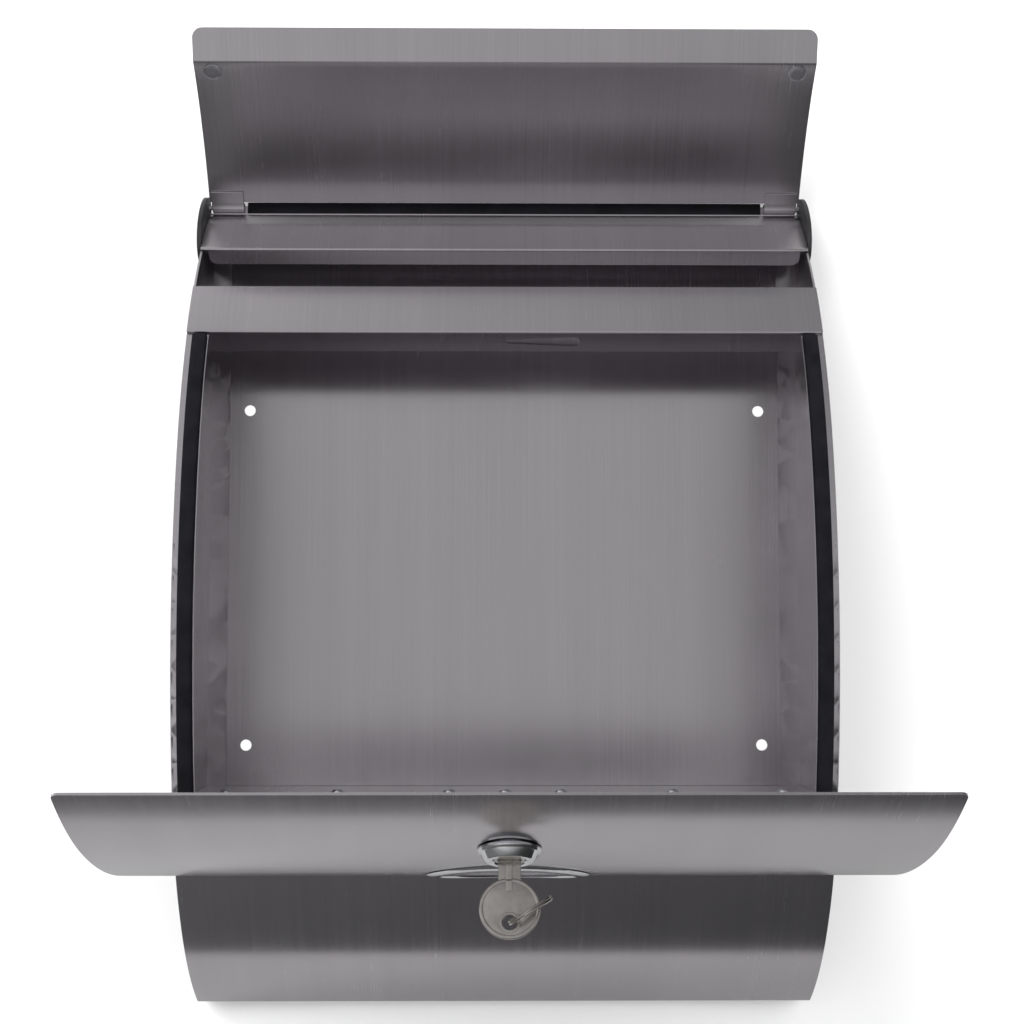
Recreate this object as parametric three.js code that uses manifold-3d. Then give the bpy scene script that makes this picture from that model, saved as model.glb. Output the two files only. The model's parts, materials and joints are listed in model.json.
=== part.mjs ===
// Wall-mounted mailbox in folded stainless steel: top letter flap, lockable curved door, newspaper tube.
// Millimetres, +Z up, X to the right of someone facing the box. The wall plane is y = 0 and the front faces -Y.
// The origin is on the rear face of the back panel. The flap and the door stand open, the key is in the lock.
import * as THREE from "three";
import { mergeVertices } from "three/addons/utils/BufferGeometryUtils.js";
import Module from "manifold-3d";

const wasm = await Module();
wasm.setup();

// ---------- driving dimensions ----------
const SHEET = 1; // thickness of every folded sheet
const GAP = 0.3; // clearance between pieces that touch
const SEAM = 0.1; // step left where two sheets of one piece are joined, so that no faces coincide
const HALF_WIDTH = 152.5; // outer faces of the side plates
const BACK_TOP = 207;
const BACK_BOTTOM = -201;

// The side view of the front is an arch of three tangent arcs, flattest in the middle.
const DEPTH = 110.4; // wall to the foremost point of the arch
const APEX_Z = -10;
const MID_RADIUS = 330;
const MID_REACH = 81; // half height of the middle arc
const TOP_RADIUS = 225;
const BOTTOM_RADIUS = 170;

const BODY_TOP = 200.2; // top edge of the upper rail
const UPPER_FOLD = 174.4; // lower fold of the upper rail, top of the letter slot
const LOWER_RAIL_TOP = 151; // bottom of the letter slot
const LOWER_FOLD = 125.4; // lower fold of the lower rail, top of the door opening
const SHELF_Z = -94.5; // upper face of the shelf
const BODY_BOTTOM = -200;

const UPPER_RETURN = { reach: 9, halfWidth: 148.5 };
const LOWER_RETURN = { reach: 14.5, halfWidth: 145.4 };
const STRIKE_SLOT = { inset: 7.3, length: 36, smallRadius: 1.3, largeRadius: 3.3 };

const SIDE_FLANGE = 10.5; // width of the folded edges of a side plate
const SIDE_INSET = SHEET + GAP; // the side plates lie behind the rails by this much
const GASKET = { from: 142.6, to: 149.6, thickness: 1.9 };
const TOP_SEAL = { halfWidth: 133.6, depthFrom: 1.3, depthTo: 8.8, height: 6.6 };

const DOOR_INNER = -1.3; // the door lies this far outside the arch
const DOOR_OUTER = DOOR_INNER - SHEET;
const DOOR_TOP = 124.8;
const DOOR_OPEN = THREE.MathUtils.degToRad(86.3);
const DOOR_HINGE_Z = -108.5;
const DOOR_BARREL = { radius: 2.6, bore: 1.75, rod: 1.4, outset: 2.9, span: 145, knuckles: 5, play: 0.5 };

const FLAP_INNER = -2;
const FLAP_OUTER = FLAP_INNER - SHEET;
const FLAP_TOP = 198;
const FLAP_BEND = 141;
const FLAP_OPEN = THREE.MathUtils.degToRad(88.9);
const LIP = { length: 16, bend: THREE.MathUtils.degToRad(37), cornerRadius: 4 };
const FLAP_PIVOT = new THREE.Vector2(13, 202.6); // depth from the wall, height
const FLAP_BARREL = { radius: 2.6, bore: 1.7, pin: 1.3, from: 134.5, to: 151, leaf: 3.5 };
const BUMPER = { x: 143.3, radius: 4.5, height: 1.6, fromBend: 5.5 };
const CHEEK = { from: 152.8, to: 154.8 };

const WINDOW_Z = 19;
const WINDOW = { outer: 31.8, inner: 26, hole: 27, pane: 30, proud: 0.8 };

const LOCK_Z = 80.5;
const LOCK_FACE = 7; // front face of the lock, measured outward from the arch
const BEZEL_RADIUS = 11.5;
const BODY_RADIUS = 9;
const PLUG_RADIUS = 5.6;
const CAM = { reach: 58, hub: 7, tip: 4.5, thickness: 1.6, rest: THREE.MathUtils.degToRad(-8) };
const KEY = {
  bowRadius: 10.75,
  bowCentre: 23.6,
  thickness: 1.6,
  width: 8,
  hole: 2.6,
  holeCentre: 28.5,
  tip: -9,
  notches: 5,
  notchPitch: 2.3,
};
const RING = {
  radius: 8.4,
  wire: 0.9,
  lean: THREE.MathUtils.degToRad(59), // from the key's axis, towards the right
  tilt: THREE.MathUtils.degToRad(11), // turned about its own diameter
};

const RIVET_XS = [-133.5, -80.1, -26.7, 0, 26.7, 80.1, 133.5];
const RIVET_DEPTH = 60;
const HOLES = { x: 132, zs: [98.6, -73.9], radius: 2.9 };

// ---------- materials ----------
function finish(color, roughness, metalness, extra = {}) {
  return new THREE.MeshStandardMaterial({ color, roughness, metalness, ...extra });
}
const brushed = finish(0x9b9a9c, 0.34, 1);
const chrome = finish(0xd8dade, 0.08, 1);
const nickel = finish(0x9a938d, 0.28, 1);
const zinc = finish(0xb4b6b8, 0.4, 1);
const rubber = finish(0x111113, 0.85, 0);
const blackPlastic = finish(0x17171a, 0.45, 0);
const clearPlastic = finish(0xcfd3d6, 0.2, 0, { transparent: true, opacity: 0.5 });

// ---------- boolean helpers ----------
function toSolid(geometry) {
  const bare = geometry.clone();
  bare.deleteAttribute("normal");
  bare.deleteAttribute("uv");
  const merged = mergeVertices(bare, 1e-4);
  const mesh = new wasm.Mesh({
    numProp: 3,
    vertProperties: new Float32Array(merged.attributes.position.array),
    triVerts: new Uint32Array(merged.index.array),
  });
  return new wasm.Manifold(mesh);
}

function toGeometry(solid) {
  const mesh = solid.getMesh();
  const positions = new Float32Array(mesh.numVert * 3);
  for (let i = 0; i < mesh.numVert; i += 1) {
    positions.set(mesh.vertProperties.subarray(i * mesh.numProp, i * mesh.numProp + 3), i * 3);
  }
  const geometry = new THREE.BufferGeometry();
  geometry.setAttribute("position", new THREE.BufferAttribute(positions, 3));
  geometry.setIndex(new THREE.BufferAttribute(mesh.triVerts, 1));
  const flat = geometry.toNonIndexed();
  flat.computeVertexNormals();
  return flat;
}

function join(first, ...others) {
  return toGeometry(others.reduce((solid, next) => solid.add(toSolid(next)), toSolid(first)));
}

function cut(first, ...others) {
  return toGeometry(others.reduce((solid, next) => solid.subtract(toSolid(next)), toSolid(first)));
}

function common(first, second) {
  return toGeometry(toSolid(first).intersect(toSolid(second)));
}

// ---------- the arch ----------
// Points of the side view are Vector2(depth from the wall, height).
const MID_ANGLE = Math.asin(MID_REACH / MID_RADIUS);

// The point of the arch whose outward normal rises by `angle`, moved inward by `inset`.
function arch(angle, inset = 0) {
  const beyond = Math.abs(angle) > MID_ANGLE;
  const endRadius = angle > 0 ? TOP_RADIUS : BOTTOM_RADIUS;
  const radius = beyond ? endRadius : MID_RADIUS;
  const turn = Math.sign(angle) * MID_ANGLE;
  const shift = MID_RADIUS - radius;
  const centreDepth = DEPTH - MID_RADIUS + shift * Math.cos(turn);
  const centreZ = APEX_Z + shift * Math.sin(turn);
  const reach = radius - inset;
  return new THREE.Vector2(centreDepth + reach * Math.cos(angle), centreZ + reach * Math.sin(angle));
}

// The normal's angle where the arch passes height z.
function angleAt(z) {
  const rise = z - APEX_Z;
  if (Math.abs(rise) <= MID_REACH) return Math.asin(rise / MID_RADIUS);
  const radius = rise > 0 ? TOP_RADIUS : BOTTOM_RADIUS;
  const centre = Math.sign(rise) * (MID_RADIUS - radius) * Math.sin(MID_ANGLE);
  return Math.asin((rise - centre) / radius);
}

function normalAt(angle) {
  return new THREE.Vector2(Math.cos(angle), Math.sin(angle));
}

function tangentAt(angle) {
  return new THREE.Vector2(-Math.sin(angle), Math.cos(angle));
}

// Points along the arch from one angle to another, inset from it.
function archLine(fromAngle, toAngle, inset) {
  const steps = Math.max(2, Math.ceil(Math.abs(toAngle - fromAngle) / THREE.MathUtils.degToRad(2.6)));
  return Array.from({ length: steps + 1 }, (_, i) =>
    arch(THREE.MathUtils.lerp(fromAngle, toAngle, i / steps), inset),
  );
}

// The outline of a curved sheet between two heights and two insets.
function band(zLow, zHigh, outer, inner) {
  const low = angleAt(zLow);
  const high = angleAt(zHigh);
  return [...archLine(low, high, outer), ...archLine(high, low, inner)];
}

// ---------- solids ----------
// Side-view outline (depth, height) swept along X.
const SIDE_VIEW = new THREE.Matrix4().makeBasis(
  new THREE.Vector3(0, -1, 0),
  new THREE.Vector3(0, 0, 1),
  new THREE.Vector3(-1, 0, 0),
);

function sweep(outline, xFrom, xTo, curveSegments = 12) {
  const shape = outline instanceof THREE.Shape ? outline : new THREE.Shape(outline);
  const geometry = new THREE.ExtrudeGeometry(shape, {
    depth: xTo - xFrom,
    bevelEnabled: false,
    curveSegments,
  });
  return geometry.applyMatrix4(SIDE_VIEW).translate(xTo, 0, 0);
}

function sweepBoth(outline, halfWidth) {
  return sweep(outline, -halfWidth, halfWidth);
}

// The X range between two distances from the middle, on the left or the right side.
function across(side, near, far) {
  return side > 0 ? [near, far] : [-far, -near];
}

function sweepSide(outline, side, near, far, curveSegments = 12) {
  return sweep(outline, ...across(side, near, far), curveSegments);
}

function box(xFrom, xTo, depthFrom, depthTo, zFrom, zTo) {
  const geometry = new THREE.BoxGeometry(xTo - xFrom, depthTo - depthFrom, zTo - zFrom);
  return geometry.translate((xFrom + xTo) / 2, -(depthFrom + depthTo) / 2, (zFrom + zTo) / 2);
}

// A rod along X through a point of the side view.
function rod(point, radius, xFrom, xTo, segments = 24) {
  const geometry = new THREE.CylinderGeometry(radius, radius, xTo - xFrom, segments);
  geometry.rotateZ(Math.PI / 2);
  return geometry.translate((xFrom + xTo) / 2, -point.x, point.y);
}

// A flat shape in (x, reach) turned to leave `origin` of the side view along `direction`, and given a
// thickness on the side that lies a quarter turn clockwise from that direction.
function slab(shape, origin, direction, thickness = SHEET) {
  const along = new THREE.Vector3(0, -direction.x, direction.y);
  const right = new THREE.Vector3(1, 0, 0);
  const basis = new THREE.Matrix4().makeBasis(right, along, right.clone().cross(along));
  const geometry = new THREE.ExtrudeGeometry(shape, {
    depth: thickness,
    bevelEnabled: false,
    curveSegments: 6,
  });
  return geometry.applyMatrix4(basis).translate(0, -origin.x, origin.y);
}

// A strip of half width w from `start` to `end`, with its two far corners rounded.
function strip(w, start, end, radius) {
  const shape = new THREE.Shape();
  shape.moveTo(-w, start);
  shape.lineTo(w, start);
  shape.lineTo(w, end - radius);
  shape.absarc(w - radius, end - radius, radius, 0, Math.PI / 2);
  shape.lineTo(-w + radius, end);
  shape.absarc(-w + radius, end - radius, radius, Math.PI / 2, Math.PI);
  return shape;
}

// A turned solid from a closed profile of (radius, height), its axis along Z.
function turned(profile, segments = 32) {
  const points = profile.map(([r, h]) => new THREE.Vector2(r, h));
  return new THREE.LatheGeometry(points, segments).rotateX(Math.PI / 2);
}

function circlePath(x, y, radius) {
  return new THREE.Path().absarc(x, y, radius, 0, Math.PI * 2, true);
}

// A disc along the outward normal of the arch at `angle`, centred on x = 0.
function normalDisc(angle, radius, length, segments = 48) {
  const centre = arch(angle);
  const geometry = new THREE.CylinderGeometry(radius, radius, length, segments);
  geometry.rotateX(Math.PI / 2 + Math.PI / 2 - angle);
  return geometry.translate(0, -centre.x, centre.y);
}

// ---------- scene graph ----------
const mailbox = new THREE.Group();

function add(parent, name, geometry, material) {
  const mesh = new THREE.Mesh(geometry, material);
  mesh.name = name;
  parent.add(mesh);
  return mesh;
}

// A group turned by `angle` about an X axis through a point of the side view. What is put in it is
// modelled closed, in the frame of the whole mailbox.
function swing(point, angle) {
  const turnedGroup = new THREE.Group();
  turnedGroup.position.set(0, -point.x, point.y);
  turnedGroup.rotation.x = angle;
  const closedFrame = new THREE.Group();
  closedFrame.position.set(0, point.x, -point.y);
  turnedGroup.add(closedFrame);
  mailbox.add(turnedGroup);
  return closedFrame;
}

function sideName(side) {
  return side > 0 ? "right" : "left";
}

// ---------- back panel ----------
function backPanel() {
  const corner = 3;
  const shape = new THREE.Shape();
  shape.moveTo(-HALF_WIDTH, BACK_BOTTOM);
  shape.lineTo(HALF_WIDTH, BACK_BOTTOM);
  shape.lineTo(HALF_WIDTH, BACK_TOP - corner);
  shape.absarc(HALF_WIDTH - corner, BACK_TOP - corner, corner, 0, Math.PI / 2);
  shape.lineTo(-HALF_WIDTH + corner, BACK_TOP);
  shape.absarc(-HALF_WIDTH + corner, BACK_TOP - corner, corner, Math.PI / 2, Math.PI);
  for (const x of [-HOLES.x, HOLES.x]) {
    for (const z of HOLES.zs) shape.holes.push(circlePath(x, z, HOLES.radius));
  }
  return slab(shape, new THREE.Vector2(0, 0), new THREE.Vector2(0, 1));
}

add(mailbox, "back_panel", backPanel(), brushed);

// ---------- side plates ----------
const WEB_TOP = 198.5;
const WEB_BOTTOM = -198.5;
const REAR = SHEET + GAP; // front face of the back panel plus the clearance
const NEWS_OPENING = { top: -104, bottom: -184, rear: 13, inset: 13 };
const CHEEK_RIVET = new THREE.Vector2(19, 180);

function webShape() {
  const shape = new THREE.Shape([
    new THREE.Vector2(REAR, WEB_TOP),
    new THREE.Vector2(REAR, WEB_BOTTOM),
    ...archLine(angleAt(WEB_BOTTOM), angleAt(WEB_TOP), SIDE_INSET),
  ]);
  const low = angleAt(NEWS_OPENING.bottom);
  const high = angleAt(NEWS_OPENING.top);
  const front = archLine(high, low, NEWS_OPENING.inset);
  const rear = [
    new THREE.Vector2(NEWS_OPENING.rear, front[front.length - 1].y),
    new THREE.Vector2(NEWS_OPENING.rear, front[0].y),
  ];
  shape.holes.push(new THREE.Path([...front, ...rear]));
  return shape;
}

function sidePlate(side) {
  const web = sweepSide(webShape(), side, HALF_WIDTH - SHEET, HALF_WIDTH);
  const flangeFrom = HALF_WIDTH - SIDE_FLANGE;
  const overlap = HALF_WIDTH - SHEET / 2;
  const front = sweepSide(
    band(-197, DOOR_TOP - GAP, SIDE_INSET, SIDE_INSET + SHEET),
    side,
    flangeFrom,
    overlap,
  );
  const rear = box(...across(side, flangeFrom, overlap), REAR, REAR + SHEET, WEB_BOTTOM, WEB_TOP);
  const rivetHole = sweepSide(
    new THREE.Shape().absarc(CHEEK_RIVET.x, CHEEK_RIVET.y, 1.9, 0, Math.PI * 2),
    side,
    HALF_WIDTH - 2,
    HALF_WIDTH + 1,
  );
  return cut(join(web, front, rear), rivetHole);
}

for (const side of [-1, 1]) {
  add(mailbox, `side_plate_${sideName(side)}`, sidePlate(side), brushed);
  const seal = band(SHELF_Z + 1.5, DOOR_TOP - 0.6, SHEET - GASKET.thickness, SHEET);
  add(mailbox, `door_gasket_${sideName(side)}`, sweepSide(seal, side, GASKET.from, GASKET.to), rubber);
}

// ---------- upper rail: face, return flange under it, top flange and hem at the back ----------
function returnFlange(foldZ, { reach, halfWidth }, holes = []) {
  const shape = strip(halfWidth, SHEET / 2, reach, 4);
  shape.holes.push(...holes);
  const angle = angleAt(foldZ + SEAM);
  return slab(shape, arch(angle), normalAt(angle).negate());
}

function upperRail() {
  const face = sweepBoth(band(UPPER_FOLD, BODY_TOP, 0, SHEET), HALF_WIDTH);
  const topDepth = arch(angleAt(BODY_TOP), SHEET / 2).x;
  const hem = HALF_WIDTH - SIDE_FLANGE - 1;
  const flangeTop = BODY_TOP - 0.4;
  const topFlange = box(-hem, hem, REAR + SHEET / 2, topDepth, flangeTop - SHEET, flangeTop);
  const backHem = box(-hem, hem, REAR, REAR + SHEET, BODY_TOP - 10, flangeTop - SEAM);
  return join(face, returnFlange(UPPER_FOLD, UPPER_RETURN), topFlange, backHem);
}

add(mailbox, "upper_rail", upperRail(), brushed);

// A black strip on the rail's top flange closes the gap behind the flap.
function topSeal() {
  const { halfWidth, depthFrom, depthTo, height } = TOP_SEAL;
  return box(-halfWidth, halfWidth, depthFrom, depthTo, BODY_TOP, BODY_TOP + height);
}

add(mailbox, "top_seal", topSeal(), rubber);

// ---------- lower rail: face and return flange with the strike slot ----------
// Teardrop outline: a small round end at x = 0 and a large one on the right.
function strikeSlot() {
  const { inset, length, smallRadius, largeRadius } = STRIKE_SLOT;
  const left = smallRadius;
  const right = length - largeRadius;
  const lean = Math.asin((largeRadius - smallRadius) / (right - left));
  const path = new THREE.Path();
  path.absarc(right, inset, largeRadius, -Math.PI / 2 - lean, Math.PI / 2 + lean);
  path.absarc(left, inset, smallRadius, Math.PI / 2 + lean, (3 * Math.PI) / 2 - lean);
  path.closePath();
  return path;
}

function lowerRail() {
  const face = sweepBoth(band(LOWER_FOLD, LOWER_RAIL_TOP, 0, SHEET), HALF_WIDTH);
  return join(face, returnFlange(LOWER_FOLD, LOWER_RETURN, [strikeSlot()]));
}

add(mailbox, "lower_rail", lowerRail(), brushed);

// ---------- shelf ----------
const SHELF_INSET = SIDE_INSET + SHEET + GAP;
const SHELF_REAR = REAR + SHEET + GAP;
const SHELF_FLANGE = 8.5;

function rivetHoles(zFrom, zTo) {
  return RIVET_XS.map((x) => {
    const hole = new THREE.CylinderGeometry(1.9, 1.9, zTo - zFrom, 16).rotateX(Math.PI / 2);
    return hole.translate(x, -RIVET_DEPTH, (zFrom + zTo) / 2);
  });
}

function shelf() {
  const halfWidth = HALF_WIDTH - SHEET - GAP;
  const frontDepth = arch(angleAt(SHELF_Z - SHEET), SHELF_INSET).x;
  const floor = box(-halfWidth, halfWidth, SHELF_REAR, frontDepth, SHELF_Z - SHEET, SHELF_Z);
  const flanges = [-1, 1].map((side) => {
    const xs = across(side, halfWidth - SHEET, halfWidth);
    return box(...xs, SHELF_REAR + 3, frontDepth - 6, SHELF_Z - SHELF_FLANGE, SHELF_Z - SHEET / 2);
  });
  return cut(join(floor, ...flanges), ...rivetHoles(SHELF_Z - 3, SHELF_Z + 3));
}

// ---------- newspaper tube front, with a flange riveted under the shelf ----------
const TUBE_TOP = SHELF_Z - SHEET - GAP; // upper face of the riveted flange
const TUBE_FLANGE_REAR = 50;
const HINGE_ANGLE = angleAt(DOOR_HINGE_Z);
const DOOR_PIVOT = arch(HINGE_ANGLE, -DOOR_BARREL.outset);

// Knuckles of the door hinge, numbered from the left: even ones belong to the door, odd ones to the tube.
function knuckle(index) {
  const { span, knuckles, play } = DOOR_BARREL;
  const pitch = (2 * span) / knuckles;
  const from = -span + index * pitch + play / 2;
  return [from, from + pitch - play];
}

function barrels(indices) {
  return indices.map((index) => rod(DOOR_PIVOT, DOOR_BARREL.radius, ...knuckle(index)));
}

function hingeBore() {
  return rod(DOOR_PIVOT, DOOR_BARREL.bore, -HALF_WIDTH - 1, HALF_WIDTH + 1);
}

function tubeFront() {
  const own = [1, 3];
  const face = sweepBoth(band(BODY_BOTTOM, TUBE_TOP, 0, SHEET), HALF_WIDTH);
  const inner = HALF_WIDTH - SIDE_FLANGE - 1;
  const foldDepth = arch(angleAt(TUBE_TOP - SHEET), SHEET / 2).x;
  const flangeTop = TUBE_TOP - 2 * SEAM;
  const topFlange = box(-inner, inner, TUBE_FLANGE_REAR, foldDepth, flangeTop - SHEET, flangeTop);
  const bottomDepth = arch(angleAt(BODY_BOTTOM), SHEET / 2).x;
  const floor = BODY_BOTTOM + 0.6;
  const bottom = box(-inner, inner, REAR + SHEET / 2, bottomDepth, floor, floor + SHEET);
  const hem = box(-inner, inner, REAR, REAR + SHEET, floor + SEAM, BODY_BOTTOM + 12);
  const supports = own.map((index) => {
    const below = angleAt(DOOR_HINGE_Z - 2.2);
    const outline = [
      arch(below, SHEET / 2),
      arch(below, -DOOR_BARREL.outset),
      arch(HINGE_ANGLE, -DOOR_BARREL.outset),
      arch(HINGE_ANGLE, SHEET / 2),
    ];
    return sweep(outline, ...knuckle(index));
  });
  const body = join(face, topFlange, bottom, hem, ...supports, ...barrels(own));
  return cut(body, hingeBore(), ...rivetHoles(TUBE_TOP - 3, TUBE_TOP + 3));
}

add(mailbox, "shelf", shelf(), brushed);
add(mailbox, "newspaper_holder", tubeFront(), brushed);

// A domed rivet through the shelf and the flange under it.
const RIVET = [
  [0, 1.9],
  [1.3, 1.7],
  [2.3, 1.1],
  [2.9, 0.3],
  [2.9, 0],
  [1.5, 0],
  [1.5, -2 * SHEET - 3 * GAP],
  [2.5, -2 * SHEET - 3 * GAP],
  [2.5, -2 * SHEET - 3 * GAP - 0.9],
  [0, -2 * SHEET - 3 * GAP - 0.9],
];
RIVET_XS.forEach((x, i) => {
  const geometry = turned([...RIVET].reverse(), 14).translate(x, -RIVET_DEPTH, SHELF_Z + GAP);
  add(mailbox, `shelf_rivet_${i + 1}`, geometry, zinc);
});

// ---------- flap hinge: cheeks outside the body, their rivets and the two pins ----------
function cheekShape() {
  const shape = new THREE.Shape();
  shape.moveTo(5, 172);
  shape.lineTo(5, 201);
  shape.quadraticCurveTo(6, 208.6, 13.5, 208);
  shape.bezierCurveTo(24, 206, 40, 194, 39.5, 181);
  shape.quadraticCurveTo(39, 172, 30, 170);
  shape.lineTo(8, 169);
  return shape;
}

function hingeCheek(side) {
  const plate = sweepSide(cheekShape(), side, CHEEK.from, CHEEK.to, 10);
  const ends = across(side, FLAP_BARREL.to, CHEEK.to + 1);
  return cut(plate, rod(FLAP_PIVOT, FLAP_BARREL.bore, ...ends), rod(CHEEK_RIVET, 1.9, ...ends));
}

// A turned piece whose axis lies along X, head outward on the given side.
function sidePin(profile, point, side, x) {
  const geometry = turned(profile, 16).rotateY((side * Math.PI) / 2);
  return geometry.translate(side * x, -point.x, point.y);
}

const pinHead = 3;
const pinLength = CHEEK.to + GAP - FLAP_BARREL.from - 2;
const PIN_PROFILE = [
  [0, -pinLength],
  [FLAP_BARREL.pin, -pinLength],
  [FLAP_BARREL.pin, 0],
  [pinHead, 0],
  [pinHead, 0.7],
  [pinHead - 0.8, 1.3],
  [0, 1.4],
];
const CHEEK_RIVET_PROFILE = [
  [0, -5],
  [2.6, -5],
  [2.6, -4.1],
  [1.5, -4.1],
  [1.5, 0],
  [3, 0],
  [2.4, 1],
  [0, 1.4],
];
for (const side of [-1, 1]) {
  const name = sideName(side);
  add(mailbox, `hinge_cheek_${name}`, hingeCheek(side), blackPlastic);
  add(mailbox, `cheek_rivet_${name}`, sidePin(CHEEK_RIVET_PROFILE, CHEEK_RIVET, side, CHEEK.to + GAP), zinc);
  add(mailbox, `flap_pin_${name}`, sidePin(PIN_PROFILE, FLAP_PIVOT, side, CHEEK.to + GAP), zinc);
}

// ---------- flap ----------
const flapFrame = swing(FLAP_PIVOT, -FLAP_OPEN);

function flap() {
  const bend = angleAt(FLAP_BEND);
  const sheet = sweepBoth(band(FLAP_BEND, FLAP_TOP, FLAP_OUTER, FLAP_INNER), HALF_WIDTH - GAP);
  const down = tangentAt(bend).negate();
  const lipDirection = down.clone().rotateAround(new THREE.Vector2(), LIP.bend);
  const shape = strip(HALF_WIDTH - GAP, -SHEET / 2, LIP.length, LIP.cornerRadius);
  return join(sheet, slab(shape, arch(bend, FLAP_OUTER), lipDirection));
}

add(flapFrame, "flap", flap(), brushed);

function flapKnuckle(side) {
  const { radius, bore, from, to, leaf } = FLAP_BARREL;
  const barrel = sweepSide(
    new THREE.Shape().absarc(FLAP_PIVOT.x, FLAP_PIVOT.y, radius, 0, Math.PI * 2),
    side,
    from,
    to,
  );
  const leafBand = band(FLAP_TOP - leaf, BODY_TOP, FLAP_INNER + GAP, FLAP_INNER + GAP + SHEET);
  const hole = sweepSide(
    new THREE.Shape().absarc(FLAP_PIVOT.x, FLAP_PIVOT.y, bore, 0, Math.PI * 2),
    side,
    from - 1,
    to + 1,
  );
  return cut(join(barrel, sweepSide(leafBand, side, from, to)), hole);
}

function bumper(side) {
  const angle = angleAt(FLAP_BEND) + BUMPER.fromBend / TOP_RADIUS;
  const centre = arch(angle, FLAP_INNER + GAP / 2);
  const { radius, height, x } = BUMPER;
  const profile = [
    [0, 0],
    [radius, 0],
    [radius, height * 0.5],
    [radius * 0.75, height],
    [0, height],
  ];
  const geometry = turned(profile, 24).rotateX(-Math.PI / 2 - angle);
  return geometry.translate(side * x, -centre.x, centre.y);
}

for (const side of [-1, 1]) {
  add(flapFrame, `flap_knuckle_${sideName(side)}`, flapKnuckle(side), brushed);
  add(flapFrame, `flap_bumper_${sideName(side)}`, bumper(side), clearPlastic);
}

// ---------- door ----------
const doorFrame = swing(DOOR_PIVOT, DOOR_OPEN);
const WINDOW_ANGLE = angleAt(WINDOW_Z);
const LOCK_ANGLE = angleAt(LOCK_Z);

function door() {
  const own = [0, 2, 4];
  const clearOfBarrels = DOOR_HINGE_Z + DOOR_BARREL.radius + 0.5;
  const sheet = sweepBoth(band(clearOfBarrels, DOOR_TOP, DOOR_OUTER, DOOR_INNER), HALF_WIDTH);
  const tab = band(DOOR_HINGE_Z + 1.4, clearOfBarrels + 1, DOOR_OUTER + SEAM, DOOR_INNER - SEAM);
  const tabs = own.map((index) => sweep(tab, ...knuckle(index)));
  const windowHole = normalDisc(WINDOW_ANGLE, WINDOW.hole, 20);
  const lockHole = normalDisc(LOCK_ANGLE, BODY_RADIUS + GAP, 20, 32);
  return cut(join(sheet, ...tabs, ...barrels(own)), hingeBore(), windowHole, lockHole);
}

add(doorFrame, "door", door(), brushed);
const rodEnd = DOOR_BARREL.span + 2;
add(mailbox, "door_hinge_rod", rod(DOOR_PIVOT, DOOR_BARREL.rod, -rodEnd, rodEnd, 16), zinc);

// ---------- sight window: bezel outside, pane and retaining ring inside ----------
function windowRing(outer, inner, outset, inset) {
  const sheet = sweepBoth(band(WINDOW_Z - 40, WINDOW_Z + 40, outset, inset), 40);
  const disc = common(sheet, normalDisc(WINDOW_ANGLE, outer, 20));
  return inner ? cut(disc, normalDisc(WINDOW_ANGLE, inner, 24)) : disc;
}

const bezelInner = DOOR_OUTER - GAP;
const paneOuter = DOOR_INNER + GAP;
const paneInner = paneOuter + SHEET;
add(
  doorFrame,
  "window_bezel",
  windowRing(WINDOW.outer, WINDOW.inner, bezelInner - WINDOW.proud, bezelInner),
  chrome,
);
add(doorFrame, "window_pane", windowRing(WINDOW.pane, 0, paneOuter, paneInner), clearPlastic);
add(
  doorFrame,
  "window_retainer",
  windowRing(WINDOW.pane, WINDOW.inner, paneInner + GAP, paneInner + GAP + SHEET),
  blackPlastic,
);

// ---------- cam lock ----------
// Its own frame: X to the right, Y up along the door, Z outward, origin on the arch.
const lockCentre = arch(LOCK_ANGLE);
const lockFrame = new THREE.Group();
lockFrame.position.set(0, -lockCentre.x, lockCentre.y);
lockFrame.rotation.x = Math.PI / 2 - LOCK_ANGLE;
doorFrame.add(lockFrame);

// The cam turns in the plane that meets the middle of the strike slot when the door is closed.
const strike = arch(angleAt(LOWER_FOLD), STRIKE_SLOT.inset).sub(lockCentre);
const camLevel = strike.dot(normalAt(LOCK_ANGLE));
const camTop = camLevel + CAM.thickness / 2;
const camBottom = camLevel - CAM.thickness / 2;
const bezelSeat = -DOOR_OUTER + GAP;
const housingEnd = camTop + 2;
const TAIL = 2.5; // half side of the plug's square tail

function lockHousing() {
  const bore = PLUG_RADIUS + GAP;
  return turned(
    [
      [bore, housingEnd],
      [BODY_RADIUS, housingEnd],
      [BODY_RADIUS, bezelSeat],
      [BEZEL_RADIUS, bezelSeat],
      [BEZEL_RADIUS, bezelSeat + 0.8],
      [BEZEL_RADIUS - 0.5, bezelSeat + 1.4],
      [BEZEL_RADIUS - 2.8, LOCK_FACE - 0.2],
      [BEZEL_RADIUS - 3.2, LOCK_FACE],
      [PLUG_RADIUS + 1, LOCK_FACE],
      [bore, LOCK_FACE - 0.6],
      [bore, housingEnd],
    ],
    40,
  );
}

function lockNut() {
  const nutTop = -DOOR_INNER - 0.7;
  const nut = new THREE.CylinderGeometry(12.2, 12.2, 3, 6).rotateX(Math.PI / 2).translate(0, 0, nutTop - 1.5);
  const hole = new THREE.CylinderGeometry(BODY_RADIUS + GAP, BODY_RADIUS + GAP, 6, 32);
  return cut(nut, hole.rotateX(Math.PI / 2).translate(0, 0, nutTop - 1.5));
}

const plugFace = LOCK_FACE - 0.5;
const plugEnd = camTop + GAP;

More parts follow.
